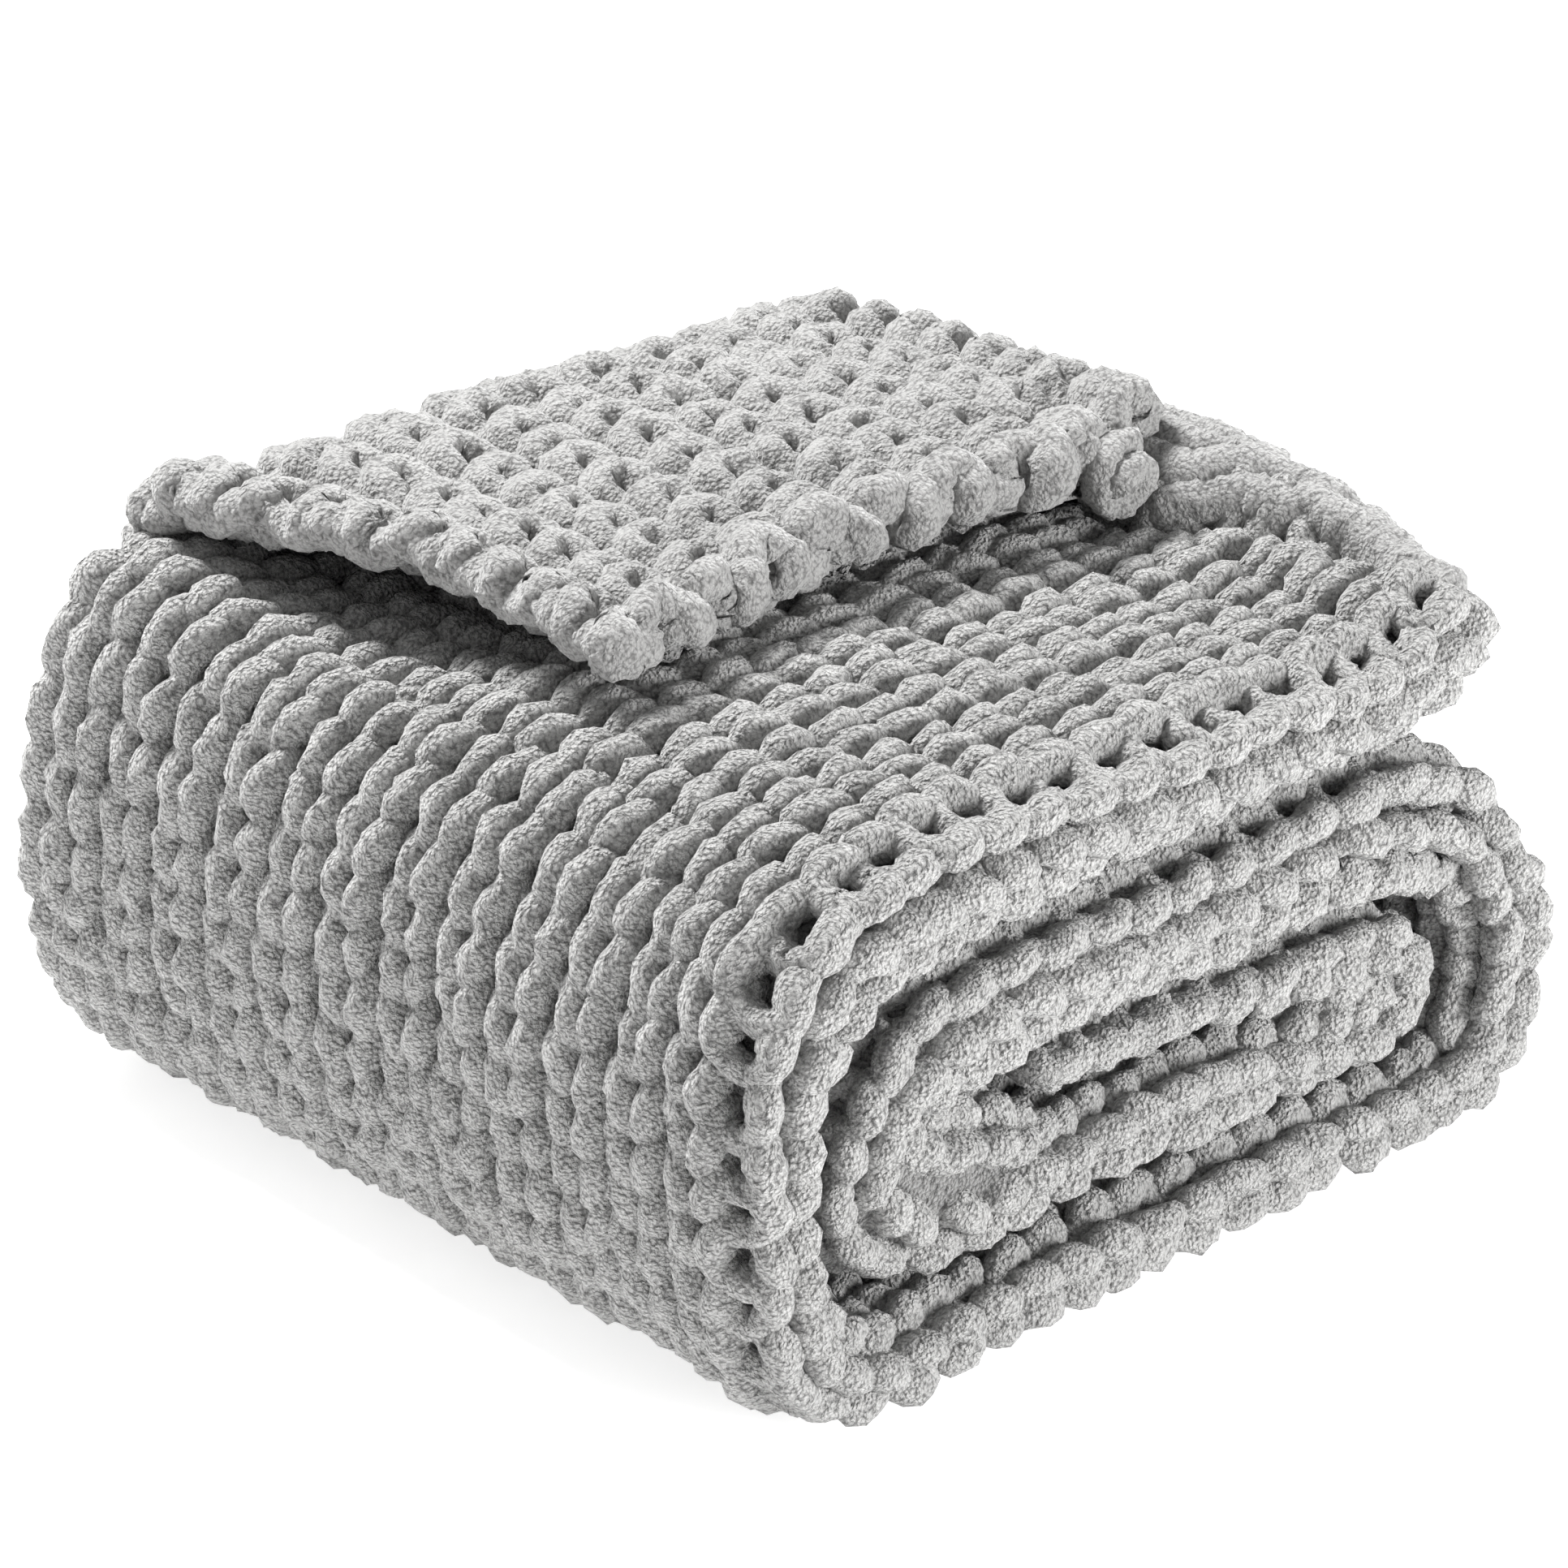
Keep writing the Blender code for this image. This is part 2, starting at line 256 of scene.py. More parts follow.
# The strip's pieces, each between two rows of its section
STRIP_PIECES = (
    ("knit_roll", 0, 21.5, ENDS_ONLY),
    ("knit_right", 21.5, 28, WHOLE_FINE),
    ("knit_under", 28, 34.6, WHOLE_COARSE),
    ("knit_left", 34.6, 40, WHOLE_FINE),
    ("knit_top", 40, len(SECTION_ROWS) - 1, WHOLE_FINE),
)

# The strip's loops in metres. INSET_ROWS says how much deeper the yarn lies in millimetres, at rows of the
# section, and that fades out round the near end between INSET_WALES.
COURSE_PITCH = 0.0250
LOOP_HEIGHT = 0.0185
LOOP_BULGE = 0.0050
LOOP_GATHER = 0.0012
LOOP_DEPTH = 0.0042
INSET_WALES = (-0.9, -0.2)
INSET_ROWS = (
    (0, 2.6),
    (20, 1.5),
    (22, -1.5),
    (27, -1.5),
    (30, 2.6),
    (33, 5.0),
    (35, 7.5),
    (37, 3.5),
    (39, 0.0),
    (41, 1.0),
    (44, 2.6),
    (52, 2.6),
)
# How the loops wander with their neighbours, with an amount, a size and a seed, and how each course
# wobbles on its own, with an amount and the number of changes in a stitch
WALE_WANDER = (0.13, 0.055, 11)
ALONG_WANDER = (0.0030, 0.050, 12)
SINK_WANDER = (0.0018, 0.060, 13)
WALE_WOBBLE = (0.050, 2)
ALONG_WOBBLE = (0.0024, 2)
SINK_WOBBLE = (0.0014, 2.5)
RADIUS_WOBBLE = (0.08, 4)
# Loops puff up on the top and round the near end: they are shorter, and their heads thinner and deeper
TOP_PUFF = 0.7
TOP_PUFF_EASE = 0.08
NEAR_PUFF_WALES = (0.6, -0.3)
PUFF_SHORTENS = 0.20
PUFF_SWELLS = 2.6
PUFF_DEEPENS = 0.6
# The loops part in a ladder of gaps along the near end's corner. The gaps grow from the underside's start
# until shortly before the top, and the yarn there is thinner and nearer to the surface.
LADDER_WIDTH = 0.20
LADDER_REACH = 1.5
LADDER_OPEN = 0.06
LADDER_OPENS = 0.12
LADDER_FULL_BEFORE_TOP = 0.20
LADDER_YARN = 0.82
LADDER_RISE = 0.0080

# The core under the strip's yarn: its depth inside the roll and outside it, and its groove at the corner
CORE_START = 0.004
CORE_END_ROW = 46.2
CORE_STATIONS = 150
CORE_END_POINTS = 15
CORE_HIDDEN_POINTS = 8
CORE_INSETS = (0.0115, 0.0175)
CORE_GROOVE = 0.006
CORE_GROOVE_WIDTH = 0.35
CORE_GROOVE_WALES = (0.15, 0.30, 0.45, 0.70)
CORE_LOWEST = 0.003
# The sheet in the middle of the turned-back end
SHEET_ALONG = (-0.018, 0.27)
SHEET_POINTS = (44, 40)
SHEET_MARGIN = 0.010
SHEET_RIM = 0.002
SHEET_NEAR_RIM = 0.012
SHEET_DEPTH = 0.0085
SHEET_SINK = 0.0060
SHEET_THICKNESS = 0.003

# The purl bumps of the turned-back end, with their wandering and wobbling as above
BUMP_PITCH = 0.0236
BUMP_RADIUS = 0.0098
BUMP_HEIGHT = 0.0115
BUMP_DEPTH = 0.0050
BUMP_REST = 1.06 * BUMP_RADIUS * YARN_TALL + 0.0010
BUMP_LEAN = 0.09
BUMP_WALE_WANDER = (0.12, 0.050, 23)
BUMP_ALONG_WANDER = (0.0050, 0.050, 21)
BUMP_SINK_WANDER = (0.0026, 0.055, 22)
BUMP_ALONG_WOBBLE = (0.0030, 2)
BUMP_SINK_WOBBLE = (0.0016, 2.5)
BUMP_RADIUS_WOBBLE = (0.10, 3)
HEAD_FLATTENS = 0.15
HEAD_SWELLS = 0.06
FLAP_COURSE_START = 0.020 - 2 * BUMP_PITCH
FLAP_COURSE_END = 0.30
# The courses run a little past the side edges, in wales, and settle there to one depth
EDGE_OVERHANG = 0.55
KNOB_GAP = -0.10
EDGE_EASE = (0.50, -0.30)
EDGE_SHRINKS = 0.04
EDGE_DEPTH = 0.0070

# The fingers: long legs over the near edge of the turned-back end
FINGER_STEPS = 24
FINGER_PITCH = 0.0330
FINGER_RADIUS = 0.0136
FINGER_START = -0.004
FINGER_SHIFT = 0.1
FINGER_JITTER = 0.30
FINGER_LEAN = (-0.020, 0.016)
FINGER_ALONG = (0.014, -0.034)
FINGER_ALONG_JITTER = 0.004
FINGER_SIZES = (0.80, 1.06)
FINGER_ENDS = 0.55
FINGER_DEPTH = 0.0080
FINGER_END_SINK = 0.0085
FINGER_DEPTH_JITTER = (-0.0015, 0.0020)
FINGER_MARGIN = 0.006
FINGER_SIDES = 16

# The ropes of edge stitches down the left side: how far across they lie, and where they start and end
EDGE_ROPES = ((-0.019, -0.012, 0.285), (-0.036, 0.170, 0.300))
EDGE_ROPE_STEPS = 200
EDGE_ROPE_SIDES = 12
EDGE_STITCH_BUMPS = 1.6
EDGE_SWING = 0.0050
EDGE_ROPE_RADIUS = 0.92
EDGE_ROPE_DEPTH = 0.0075
EDGE_SWING_WOBBLE = (0.0040, 1)
EDGE_RADIUS_WOBBLE = (0.16, EDGE_STITCH_BUMPS)
EDGE_DEPTH_WOBBLE = (0.0020, 1)

# The strands along the ridge: how far beyond the crevice each lies, and how they wobble, with the stations
# between changes and the amount
RIDGE_STRANDS = (0.014, 0.026, 0.039, 0.052)
RIDGE_STEPS = 90
RIDGE_SIDES = 12
RIDGE_WALES = (0.1, 5.6)
RIDGE_TOP_ROW = 46
RIDGE_ROWS = (43, 47)
RIDGE_RADIUS = 1.12
RIDGE_DEPTH = 0.0120
RIDGE_ALONG_WOBBLE = (7, 0.0022)
RIDGE_RADIUS_WOBBLE = (5, 0.12)
RIDGE_DEPTH_WOBBLE = (6, 0.0015)

# The knob at the right end of the turned-back edge: a strand that curls inwards and towards the near end
KNOB_CENTRE = (0.141, -0.052, 0.259)
KNOB_STEPS = 70
KNOB_SIDES = 14
KNOB_TURNS = 1.4
KNOB_START_ANGLE = 0.8
KNOB_REACH = 0.0135
KNOB_SHRINKS = 0.70
KNOB_BACK = -0.004
KNOB_FORWARD = 0.011
KNOB_TILT = 0.6
KNOB_STRAND = 0.0078


def spline_at(rows, names, places):
    """Each column of a table in millimetres as a cubic B-spline in metres, at places from 0 to 1."""
    lines = {}
    for name in names:
        values = np.array([row[names.index(name)] for row in rows], dtype=float) / MM_PER_METRE
        held = np.concatenate([[2 * values[0] - values[1]], values, [2 * values[-1] - values[-2]]])
        spans = len(values) - 1
        at = np.clip(places * spans, 0, spans - 1e-9)
        first = at.astype(int)
        t = at - first
        weights = (
            (1 - t) ** 3 / 6,
            (3 * t**3 - 6 * t**2 + 4) / 6,
            (-3 * t**3 + 3 * t**2 + 3 * t + 1) / 6,
            t**3 / 6,
        )
        lines[name] = sum(weight * held[first + shift] for shift, weight in enumerate(weights))
    return lines


def ease(value, start, end):
    """0 at start, 1 at end, and a smooth rise between."""
    t = np.clip((value - start) / (end - start), 0, 1)
    return t * t * (3 - 2 * t)


def unit(vectors):
    """The same directions, with a length of 1."""
    return vectors / np.maximum(np.linalg.norm(vectors, axis=1, keepdims=True), 1e-9)


def zone_move(zone, points):
    """How far a zone moves each point."""
    amount, ranges = ZONES[zone]
    moved = np.full(len(points), amount)
    for axis, start, end in ranges:
        moved *= ease(points[:, "xyz".index(axis)], start, end)
    return moved


def crevice_x(y):
    """Where the crevice in front of the ridge lies."""
    line = np.array(CREVICE_LINE)
    return np.interp(y, line[:, 0], line[:, 1])


def ridge_move(points):
    """How far the top rises or falls at the ridge along its right end."""
    beyond = points[:, 0] - crevice_x(points[:, 1])
    dip = CREVICE_DEPTH * np.exp(-((beyond / CREVICE_WIDTH) ** 2))
    return zone_move("ridge", points) * (RIDGE_RISE * ease(beyond, *RIDGE_SLOPE) - dip)


def settle(points):
    """Moves points as the soft bundle settles, with no wave in the flat underside's height."""
    x, y, z = points.T
    free = np.clip(z / FLAT_HEIGHT, 0, 1)
    rise = np.sin(RISE_WAVE[0] * x + RISE_WAVE[1] * y) * np.cos(RISE_WAVE[2] * y + RISE_START)
    shift = np.sin(SHIFT_WAVE[1] * y + SHIFT_WAVE[2] * z) * np.cos(SHIFT_WAVE[0] * x)
    slide = np.sin(SLIDE_WAVE[0] * x + SLIDE_WAVE[1] * z)
    lower = z * (1 - zone_move("far_right_sag", points)) + ridge_move(points)
    return np.stack(
        [
            x + WAVE_HEIGHT * shift - zone_move("near_right_pull", points),
            y + WAVE_HEIGHT * slide,
            lower + WAVE_HEIGHT * free * rise + zone_move("far_left_rise", points),
        ],
        axis=1,
    )


# The strip's path, measured along its outer face
PATH_PLACES = np.linspace(0, 1, PATH_SAMPLES)
PATH_LINE = spline_at(SECTION_ROWS, SECTION_COLUMNS, PATH_PLACES)
PATH_STEPS = np.hypot(np.diff(PATH_LINE["outer_x"]), np.diff(PATH_LINE["outer_z"]))
PATH_LENGTHS = np.concatenate([[0], np.cumsum(PATH_STEPS)])


def path_length_at_row(row):
    """The distance along the path to a row of the section, which may lie between two rows."""
    return float(np.interp(row / (len(SECTION_ROWS) - 1), PATH_PLACES, PATH_LENGTHS))


UNDER_START = path_length_at_row(28)
TOP_START = path_length_at_row(38.5)
UNDER_FLAP_START, UNDER_FLAP_END = map(path_length_at_row, UNDER_FLAP_ROWS)
INSET_PLACES = [path_length_at_row(row) for row, _ in INSET_ROWS]
INSETS = [inset / MM_PER_METRE for _, inset in INSET_ROWS]


def strip_surface(along, wale, depth):
    """Points at a depth under the strip's surface, and the way out of it.

    along is the distance along the path. wale counts from the near end: 0 to FACE_WALES on the outer
    face, then some more round each end, and on from there along the inner face.
    """
    places = np.interp(along, PATH_LENGTHS, PATH_PLACES)
    line = spline_at(SECTION_ROWS, SECTION_COLUMNS, places)
    outer = np.stack([line["outer_x"], line["outer_z"]], axis=1)
    inner = np.stack([line["inner_x"], line["inner_z"]], axis=1)
    thick = np.linalg.norm(outer - inner, axis=1)
    out = (outer - inner) / thick[:, None]
    near = NEAR_END + line["near_in"]
    far = FAR_END - line["far_in"]
    rounding = np.minimum(0.5 * thick, END_ROUNDING)
    side = np.where(wale < 0.5 * FACE_WALES, -1.0, 1.0)
    past = np.where(side < 0, -wale, wale - FACE_WALES)
    turn_wales = np.clip(THIN_TURN + (thick - THIN_STRIP) * TURN_GROWTH, THIN_TURN, THICK_TURN)
    turn = math.pi * np.clip(past / turn_wales, 0, 1)
    under = np.clip(past - turn_wales, 0, None) * WALE_PITCH
    share = np.clip(wale / FACE_WALES, 0, 1)
    y = near + rounding + share * (far - near - 2 * rounding)
    y += side * (rounding * np.sin(turn) - under)
    lift = 0.5 * thick * (1 + np.cos(turn))
    flat = inner + out * lift[:, None]
    points = np.stack([flat[:, 0], y, flat[:, 1]], axis=1)
    rise = np.cos(turn) / (0.5 * thick)
    normals = np.stack([out[:, 0] * rise, side * np.sin(turn) / rounding, out[:, 1] * rise], axis=1)
    normals = unit(normals)
    points = points - normals * np.minimum(depth, DEEPEST * thick)[:, None]
    dip = zone_move("dip_from_left", points) * zone_move("dip_to_right", points)
    points[:, 2] -= dip
    return settle(points), normals


# The turned-back end's edges and heights, read by x
FLAP_LINE = spline_at(FLAP_ROWS, FLAP_COLUMNS, np.linspace(0, 1, FLAP_SAMPLES))
FLAP_X = np.maximum.accumulate(FLAP_LINE["x"]) + np.linspace(0, 1e-6, FLAP_SAMPLES)
FLAP_LEFT = float(FLAP_X[0])
FLAP_WIDTH = float(FLAP_X[-1]) - FLAP_LEFT - FLAP_THICKNESS
FLAP_WALES = round(FLAP_WIDTH / WALE_PITCH)


def flap_surface(across, along, depth):
    """Points at a depth under the turned-back end's surface, and the way out of it.

    across is the distance from its left edge; under 0 it goes round that edge, and past FLAP_WIDTH round
    the right one. along is the distance from its near edge; under 0 it goes round and under that edge,
    and past the top's length it goes over the fold.
    """
    round_x = 0.5 * FLAP_THICKNESS
    past_x = np.where(across < 0, -across, np.clip(across - FLAP_WIDTH, 0, None))
    turn_x = np.clip(past_x / round_x, 0, math.pi)
    side_x = np.where(across < 0, -1.0, 1.0)
    x = FLAP_LEFT + round_x + np.clip(across, 0, FLAP_WIDTH)
    line = {name: np.interp(x, FLAP_X, FLAP_LINE[name]) for name in FLAP_COLUMNS[1:]}
    centre = line["far_y"] - FOLD_DEPTH
    length = centre - line["near_y"]
    share = np.clip(along / length, 0, 1)
    low = np.where(share < 0.5, line["under_near"], line["under_mid"])
    high = np.where(share < 0.5, line["under_mid"], line["under_far"])
    height = low + (high - low) * (2 * share - np.where(share < 0.5, 0, 1)) + FLAP_THICKNESS
    # Round the near edge
    turn_near = np.clip(-along / round_x, 0, math.pi)
    beyond = np.clip(-along - math.pi * round_x, 0, None)
    # Over the fold at the far end
    rise = height - FOLD_CENTRE_HEIGHT
    reach = 0.5 * (FOLD_DEPTH + rise)
    turn_far = np.clip((along - length) / reach, 0, 0.5 * math.pi - FOLD_END)
    y = line["near_y"] + share * length - round_x * np.sin(turn_near) + beyond
    y += FOLD_DEPTH * np.sin(turn_far)
    z = height - round_x * (1 - np.cos(turn_near)) - rise * (1 - np.cos(turn_far))
    level = np.zeros_like(y)
    tilt = np.sin(turn_far) - np.sin(turn_near)
    normals = unit(np.stack([level, tilt, np.cos(turn_near) * np.cos(turn_far)], axis=1))
    # Round the left and right edges, towards the cloth's other face
    middle = np.stack([x, y, z], axis=1) - normals * round_x
    sideways = np.stack([side_x, level, level], axis=1)
    normals = normals * np.cos(turn_x)[:, None] + sideways * np.sin(turn_x)[:, None]
    points = middle + normals * (round_x - depth)[:, None]
    spread = zone_move("corner_spread", points)
    drop = zone_move("corner_drop", points) + zone_move("flap_right_drop", points)
    points = points - np.stack([spread, level, drop], axis=1)
    return settle(points), normals


def smooth_random(count, spacing, amount):
    """Random values for count places, which change smoothly and head for a new value every spacing."""
    knots = RANDOM.uniform(-amount, amount, int(count / spacing) + 3)
    return np.interp(np.arange(count) / spacing, np.arange(len(knots)), knots)


def cell_noise(points, size, seed):
    """Smooth noise from -1 to 1 that is the same at the same place."""
    grid = points / size
    cell = np.floor(grid).astype(np.int64)
    t = grid - cell
    t = t * t * (3 - 2 * t)
    total = np.zeros(len(points))
    for corner in np.ndindex(2, 2, 2):
        scaled = (cell + corner) * HASH_AXES
        key = scaled[:, 0] ^ scaled[:, 1] ^ scaled[:, 2]
        key = (key + seed * HASH_SEED) & HASH_MASK
        for bits, factor in HASH_STEPS:
            key = ((key ^ (key >> bits)) * factor) & HASH_MASK
        value = ((key ^ (key >> 16)) & 0xFFFF) / 32767.5 - 1
        share = np.where(corner, t, 1 - t)
        total += value * (share[:, 0] * share[:, 1]) * share[:, 2]
    return total


def wander(along, wales, kind):
    """Slow unevenness that neighbouring courses and wales share."""
    amount, size, seed = kind
    places = np.stack([along, wales * WALE_PITCH, np.full(len(wales), NOISE_SLICE)], axis=1)
    return amount * cell_noise(places, size, seed)


def wobble(count, stitch, kind):
    """Random unevenness of one rope, whose stitches are so many stations long."""
    amount, changes = kind
    return smooth_random(count, stitch / changes, amount)


class Mesh:
    """Collects points and faces into one mesh. A triangle is a face whose last corner comes twice."""

    def __init__(self):
        self.points = []
        self.faces = []
        self.count = 0

    def add(self, points, faces):
        self.points.append(points)
        self.faces.append(faces + self.count)
        self.count += len(points)


def make_object(name, mesh, material):
    """A smooth object in the scene from a collected mesh."""
    points = np.concatenate(mesh.points)
    faces = np.concatenate(mesh.faces)
    three = faces[:, 2] == faces[:, 3]
    lengths = np.where(three, 3, 4)
    loops = faces.ravel()[np.repeat(~three, 4) | np.tile([True, True, True, False], len(faces))]
    data = bpy.data.meshes.new(name)
    data.vertices.add(len(points))
    data.vertices.foreach_set("co", points.astype(np.float32).ravel())
    data.loops.add(len(loops))
    data.loops.foreach_set("vertex_index", loops.astype(np.int32))
    data.polygons.add(len(faces))
    starts = np.concatenate([[0], np.cumsum(lengths)[:-1]])
    data.polygons.foreach_set("loop_start", starts.astype(np.int32))
    data.update(calc_edges=True)
    data.validate()
    data.shade_smooth()
    data.materials.append(material)
    made = bpy.data.objects.new(name, data)
    bpy.context.scene.collection.objects.link(made)
    return made


def grid_faces(rows, columns, closed):
    """The faces between the rows of a grid of points. In a closed grid each row is a ring."""
    side = np.arange(columns if closed else columns - 1)
    after = (side + 1) % columns
    row = np.arange(rows - 1)[:, None] * columns
    faces = np.stack([row + side, row + after, row + columns + after, row + columns + side], axis=-1)
    return faces.reshape(-1, 4)


def rope_faces(count, sides):
    """The faces of a rope of count rings, with a fan of triangles round the tip at each end."""
    side = np.arange(sides)
    after = (side + 1) % sides
    last = (count - 1) * sides
    tip = np.full(sides, count * sides)
    start = np.stack([tip, after, side, side], axis=1)
    end = np.stack([tip + 1, last + side, last + after, last + after], axis=1)
    return np.concatenate([grid_faces(count, sides, True), start, end])


def rope_angles(sides):
    """Angles round a rope, from straight out: close together outside and wide apart underneath."""
    return np.concatenate([np.linspace(-OUTER_ARC, OUTER_ARC, sides - 2), INNER_ANGLES])


def sweep(mesh, centres, outs, radii, sides):
    """A closed rope along centres, which is fat, lumpy and never under the floor."""
    tangents = unit(np.gradient(centres, axis=0))
    outs = unit(outs - tangents * np.sum(outs * tangents, axis=1, keepdims=True))
    across = np.cross(tangents, outs)
    angles = rope_angles(sides)
    outward = outs[:, None, :] * np.cos(angles)[None, :, None]
    sideways = across[:, None, :] * np.sin(angles)[None, :, None]
    ring = (YARN_TALL * outward + YARN_WIDE * sideways).reshape(-1, 3)
    surface = np.repeat(centres, sides, axis=0) + ring * np.repeat(radii, sides)[:, None]
    lumps = sum(height * cell_noise(surface, size, seed) for height, size, seed in LUMPS)
    lumps += RANDOM.uniform(-GRAIN, GRAIN, len(surface))
    tips = tangents[[0, -1]] * (radii[[0, -1], None] * np.array([[-END_CAP], [END_CAP]]))
    points = np.concatenate([surface + ring * lumps[:, None], centres[[0, -1]] + tips])
    z = points[:, 2]
    squeezed = FLOOR_GAP * np.exp(np.minimum((z - FLOOR_GAP) / FLOOR_GAP, 0))
    points[:, 2] = np.where(z < FLOOR_GAP, squeezed, z)
    mesh.add(points, rope_faces(len(centres), sides))


def loop_stations(first, last, detail):
    """Places along a course, in wales, as close together as its detail says."""
    _, before, after, change = detail
    places = [first]
    while places[-1] < last:
        places.append(places[-1] + 1.0 / (before if places[-1] < change else after))
    places[-1] = last
    return np.array(places)


def strip_course(mesh, middle, first, last, detail):
    """A course of knit loops: heads behind, and legs in front that lean apart towards the heads."""
    wales = loop_stations(first, last, detail)
    count = len(wales)
    stitch = count / (last - first)
    line = np.full(count, middle)
    turn = 2 * math.pi * (wales - 0.5)
    leg = -np.cos(2 * turn)
    on_top = ease(line, TOP_START, TOP_START + TOP_PUFF_EASE)
    puff = np.maximum(TOP_PUFF * on_top, ease(wales, *NEAR_PUFF_WALES))
    shift = (LOOP_BULGE * np.sin(2 * turn) - LOOP_GATHER * np.sin(turn)) / WALE_PITCH
    shift += wander(line, wales, WALE_WANDER) + wobble(count, stitch, WALE_WOBBLE)
    along = LOOP_HEIGHT * (1 - PUFF_SHORTENS * puff) * np.cos(turn)
    along += wander(line, wales, ALONG_WANDER)
    along += wobble(count, stitch, ALONG_WOBBLE) * (1 + puff)
    sink = wander(line, wales, SINK_WANDER) + wobble(count, stitch, SINK_WOBBLE)
    # The loops part at the corner of the near end, and show the strands behind them
    corner = np.exp(-((wales / LADDER_WIDTH) ** 2))
    opened = LADDER_OPEN + LADDER_OPENS * ease(middle, UNDER_START, TOP_START - LADDER_FULL_BEFORE_TOP)
    parted = opened * np.tanh(wales / LADDER_WIDTH) * np.exp(-((wales / LADDER_REACH) ** 2))
    swell = YARN_SWELL * (1 + PUFF_SWELLS * puff)
    radii = YARN_RADIUS * (1 + swell * (leg - 1) + wobble(count, stitch, RADIUS_WOBBLE))
    radii += (LADDER_YARN * YARN_RADIUS - radii) * corner
    inset = np.interp(middle, INSET_PLACES, INSETS) * ease(wales, *INSET_WALES)
    depth = YARN_RADIUS * YARN_TALL + inset + LOOP_DEPTH * (1 + PUFF_DEEPENS * puff) * (1 - leg) + sink
    centres, outs = strip_surface(middle + along, wales + shift + parted, depth - LADDER_RISE * corner)
    sweep(mesh, centres, outs, radii, detail[0])


def flap_course(mesh, middle):
    """A course of the turned-back end's purl side, whose heads arch over the course before."""
    # The courses round the near edge stop short of the knob
    last = FLAP_WALES + (EDGE_OVERHANG if middle > 0 else KNOB_GAP)
    wales = loop_stations(-EDGE_OVERHANG, last, FLAP_DETAIL)
    count = len(wales)
    stitch = count / (last + EDGE_OVERHANG)
    line = np.full(count, middle)
    turn = 2 * math.pi * wales
    at_edge = ease(wales, *EDGE_EASE) + ease(FLAP_WALES - wales, *EDGE_EASE)
    head = HEAD_FLATTENS + np.cos(turn) - HEAD_FLATTENS * np.cos(2 * turn)
    head = head * (1 - at_edge) + at_edge
    along = BUMP_HEIGHT * np.cos(turn) * (1 - at_edge) + wander(line, wales, BUMP_ALONG_WANDER)
    along += wobble(count, stitch, BUMP_ALONG_WOBBLE)
    sink = wander(line, wales, BUMP_SINK_WANDER) + wobble(count, stitch, BUMP_SINK_WOBBLE)
    swell = HEAD_SWELLS * head - EDGE_SHRINKS * at_edge
    radii = BUMP_RADIUS * (1 + swell + wobble(count, stitch, BUMP_RADIUS_WOBBLE))
    depth = BUMP_REST + BUMP_DEPTH * (1 - head) + sink
    depth = depth * (1 - at_edge) + EDGE_DEPTH * at_edge
    shift = BUMP_LEAN * np.sin(2 * turn) + wander(line, wales, BUMP_WALE_WANDER)
    position = (wales + shift * (1 - at_edge)) * (FLAP_WIDTH / FLAP_WALES)
    centres, outs = flap_surface(position, middle + along, depth)
    sweep(mesh, centres, outs, radii, FLAP_DETAIL[0])


def flap_fingers(mesh):
    """The long legs that wrap over the near edge of the turned-back end."""
    reach = np.linspace(0, 1, FINGER_STEPS)
    plump = np.sin(math.pi * np.clip(reach, 0.02, 0.98)) ** 0.5
    start, end = FINGER_ALONG
    for finger in range(int((FLAP_WIDTH + FLAP_THICKNESS) / FINGER_PITCH)):
        lean = RANDOM.uniform(*FINGER_LEAN)
        jitter = RANDOM.uniform(-FINGER_JITTER, FINGER_JITTER)
        place = FINGER_START + (finger + FINGER_SHIFT + jitter) * FINGER_PITCH
        if place > FLAP_WIDTH - FINGER_MARGIN:
            break
        across = place + lean * (reach - 0.5)
        along = start + RANDOM.uniform(-FINGER_ALONG_JITTER, FINGER_ALONG_JITTER) + (end - start) * reach
        size = RANDOM.uniform(*FINGER_SIZES)
        radii = FINGER_RADIUS * (FINGER_ENDS + (1 - FINGER_ENDS) * plump) * size
        depth = FINGER_DEPTH + FINGER_END_SINK * (1 - plump) + RANDOM.uniform(*FINGER_DEPTH_JITTER)
        centres, outs = flap_surface(across, along, depth)
        sweep(mesh, centres, outs, radii, FINGER_SIDES)


def flap_edge(mesh, across, start, end):
    """A rope of edge stitches down the left side of the turned-back end."""
    steps = EDGE_ROPE_STEPS
    stitch = steps * BUMP_PITCH / (end - start)
    swing = EDGE_SWING * np.sin(2 * math.pi * np.arange(steps) / (EDGE_STITCH_BUMPS * stitch))
    swing += wobble(steps, stitch, EDGE_SWING_WOBBLE)
    radii = BUMP_RADIUS * (EDGE_ROPE_RADIUS + wobble(steps, stitch, EDGE_RADIUS_WOBBLE))
    depth = EDGE_ROPE_DEPTH + wobble(steps, stitch, EDGE_DEPTH_WOBBLE)
    centres, outs = flap_surface(across + swing, np.linspace(start, end, steps), depth)
    sweep(mesh, centres, outs, radii, EDGE_ROPE_SIDES)


def flap_knob(mesh):
    """The right end of the turned-back edge, curled up into a knob."""
    turns = np.linspace(0, 1, KNOB_STEPS)
    angle = 2 * math.pi * KNOB_TURNS * turns + KNOB_START_ANGLE
    reach = KNOB_REACH * (1 - KNOB_SHRINKS * turns)
    forward = KNOB_BACK - KNOB_FORWARD * turns
    offsets = np.stack([np.cos(angle) * reach, forward, np.sin(angle) * reach], axis=1)
    ahead = np.full(KNOB_STEPS, -1.0)
    outs = np.stack([np.cos(angle) * KNOB_TILT, ahead, np.sin(angle) * KNOB_TILT], axis=1)
    sweep(mesh, np.array(KNOB_CENTRE) + offsets, outs, np.full(KNOB_STEPS, KNOB_STRAND), KNOB_SIDES)


